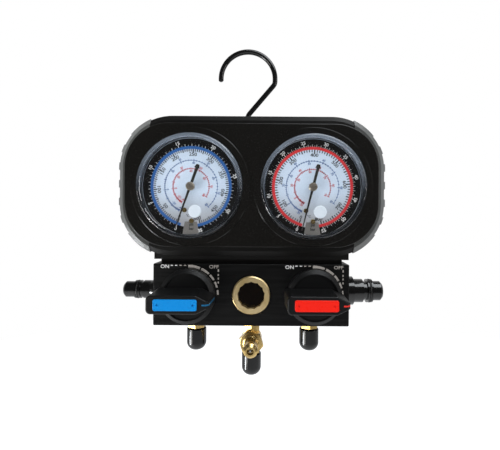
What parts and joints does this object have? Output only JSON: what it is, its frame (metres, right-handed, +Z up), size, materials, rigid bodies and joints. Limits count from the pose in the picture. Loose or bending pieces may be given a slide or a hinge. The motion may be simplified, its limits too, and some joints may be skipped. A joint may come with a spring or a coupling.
{
  "type": "refrigerant manifold gauge",
  "caption": "Refrigerant manifold gauge set: black block with low and high side valves, sight glass and capped flare ports, under two bumpered dial gauges and a hanging hook",
  "frame": {"origin": "centre of the manifold block's back face", "axes": "+X right towards the high side, +Z up towards the hook, +Y back, so the front faces -Y"},
  "size_m": [0.2142, 0.0695, 0.2639],
  "materials": {
    "black_anodised": "black anodised, fine brushed",
    "casing_plastic": "moulded black ABS, fine texture",
    "cover_plastic": "moulded black ABS, satin",
    "bumper_rubber": "grey rubber",
    "knob_plastic": "moulded dark grey nylon",
    "insert_blue": "blue moulding",
    "insert_red": "red moulding",
    "lens_clear": "clear polycarbonate",
    "plug_soft": "milky soft stopper",
    "dial_white": "silver-white dial, low or high pressure scale",
    "gauge_case_metal": "black enamelled pressed steel",
    "pointer_black": "matt black aluminium",
    "brass": "machined brass",
    "tube_bronze": "drawn phosphor bronze",
    "steel": "machined steel",
    "screw_steel": "zinc plated steel",
    "hook_black": "gloss black coating",
    "post_black": "gloss black plating",
    "cap_black": "moulded black, glossy",
    "seal_rubber": "black nitrile",
    "seat_white": "machined PTFE",
    "sight_amber": "clear glass over a dark oil film"
  },
  "bodies": {
    "manifold": {"manifold_block": "black_anodised", "rear_casing": "casing_plastic", "front_cover": "cover_plastic", "left_bumper": "bumper_rubber", "right_bumper": "bumper_rubber", "casing_screws": "screw_steel", "sight_ring": "brass", "sight_glass": "sight_amber", "sight_seal": "seal_rubber", "valve_seats": "seat_white", "gland_nuts": "brass", "dial_screws": "brass", "centre_tee": "brass", "service_core": "brass", "post_rings": "seal_rubber", "low_gauge_case": "gauge_case_metal", "low_gauge_stem": "brass", "low_lens": "lens_clear", "low_lens_plug": "plug_soft", "low_dial": "dial_white", "low_pressure_tube": "tube_bronze", "low_movement_frame": "brass", "low_port": "brass", "low_hose_post": "post_black", "high_gauge_case": "gauge_case_metal", "high_gauge_stem": "brass", "high_lens": "lens_clear", "high_lens_plug": "plug_soft", "high_dial": "dial_white", "high_pressure_tube": "tube_bronze", "high_movement_frame": "brass", "high_port": "brass", "high_hose_post": "post_black"},
    "hook_swivel": {"hook": "hook_black", "hook_nut": "steel"},
    "service_valve_pin": {"service_pin": "steel"},
    "centre_cap_body": {"centre_port_cap": "cap_black"},
    "low_valve_body": {"low_knob": "knob_plastic", "low_knob_insert": "insert_blue", "low_knob_screw": "screw_steel", "low_spindle": "brass", "low_valve_ball": "brass", "low_spindle_seals": "seal_rubber"},
    "low_pointer_body": {"low_pointer": "pointer_black", "low_pinion": "steel"},
    "low_sector_body": {"low_sector_gear": "brass"},
    "low_link_body": {"low_link": "brass"},
    "low_cap_body": {"low_port_cap": "cap_black"},
    "high_valve_body": {"high_knob": "knob_plastic", "high_knob_insert": "insert_red", "high_knob_screw": "screw_steel", "high_spindle": "brass", "high_valve_ball": "brass", "high_spindle_seals": "seal_rubber"},
    "high_pointer_body": {"high_pointer": "pointer_black", "high_pinion": "steel"},
    "high_sector_body": {"high_sector_gear": "brass"},
    "high_link_body": {"high_link": "brass"},
    "high_cap_body": {"high_port_cap": "cap_black"}
  },
  "joints": [
    {"name": "hook_swivel_turn", "type": "hinge", "parent": "manifold", "child": "hook_swivel", "pos_m": [-0.004, -0.024, 0.137], "axis": [0, 0, 1], "continuous": true},
    {"name": "low_valve_turn", "type": "hinge", "parent": "manifold", "child": "low_valve_body", "pos_m": [-0.0485, -0.034, 0], "axis": [0, -1, 0], "range_deg": [0, 90]},
    {"name": "low_sector_turn", "type": "hinge", "parent": "manifold", "child": "low_sector_body", "pos_m": [-0.02968, -0.027, 0.094], "axis": [0, -1, 0], "range_deg": [0, 36.2], "stiffness_Nm_per_rad": 0.01},
    {"name": "low_pointer_turn", "type": "hinge", "parent": "manifold", "child": "low_pointer_body", "pos_m": [-0.047, -0.027, 0.084], "axis": [0, 1, 0], "range_deg": [0, 326]},
    {"name": "low_link_turn", "type": "hinge", "parent": "low_sector_body", "child": "low_link_body", "pos_m": [-0.02405, -0.026, 0.09725], "axis": [0, -1, 0], "range_deg": [-33, 0]},
    {"name": "low_cap_pull", "type": "slide", "parent": "manifold", "child": "low_cap_body", "axis": [0, 0, -1], "range_m": [0, 0.016]},
    {"name": "high_valve_turn", "type": "hinge", "parent": "manifold", "child": "high_valve_body", "pos_m": [0.0485, -0.034, 0], "axis": [0, -1, 0], "range_deg": [0, 90]},
    {"name": "high_sector_turn", "type": "hinge", "parent": "manifold", "child": "high_sector_body", "pos_m": [0.06432, -0.027, 0.094], "axis": [0, -1, 0], "range_deg": [0, 36.2], "stiffness_Nm_per_rad": 0.01},
    {"name": "high_pointer_turn", "type": "hinge", "parent": "manifold", "child": "high_pointer_body", "pos_m": [0.047, -0.027, 0.084], "axis": [0, 1, 0], "range_deg": [0, 326]},
    {"name": "high_link_turn", "type": "hinge", "parent": "high_sector_body", "child": "high_link_body", "pos_m": [0.06995, -0.026, 0.09725], "axis": [0, -1, 0], "range_deg": [-33, 0]},
    {"name": "high_cap_pull", "type": "slide", "parent": "manifold", "child": "high_cap_body", "axis": [0, 0, -1], "range_m": [0, 0.016]},
    {"name": "centre_cap_pull", "type": "slide", "parent": "manifold", "child": "centre_cap_body", "axis": [0, 0, -1], "range_m": [0, 0.016]},
    {"name": "service_pin_press", "type": "slide", "parent": "manifold", "child": "service_valve_pin", "axis": [0, 1, 0], "range_m": [0, 0.0015], "stiffness_N_per_m": 500}
  ],
  "couplings": [
    {"joint": "low_pointer_turn", "follows": "low_sector_turn", "ratio": 9},
    {"joint": "low_link_turn", "follows": "low_sector_turn", "ratio": -0.8887},
    {"joint": "high_pointer_turn", "follows": "high_sector_turn", "ratio": 9},
    {"joint": "high_link_turn", "follows": "high_sector_turn", "ratio": -0.8887}
  ]
}
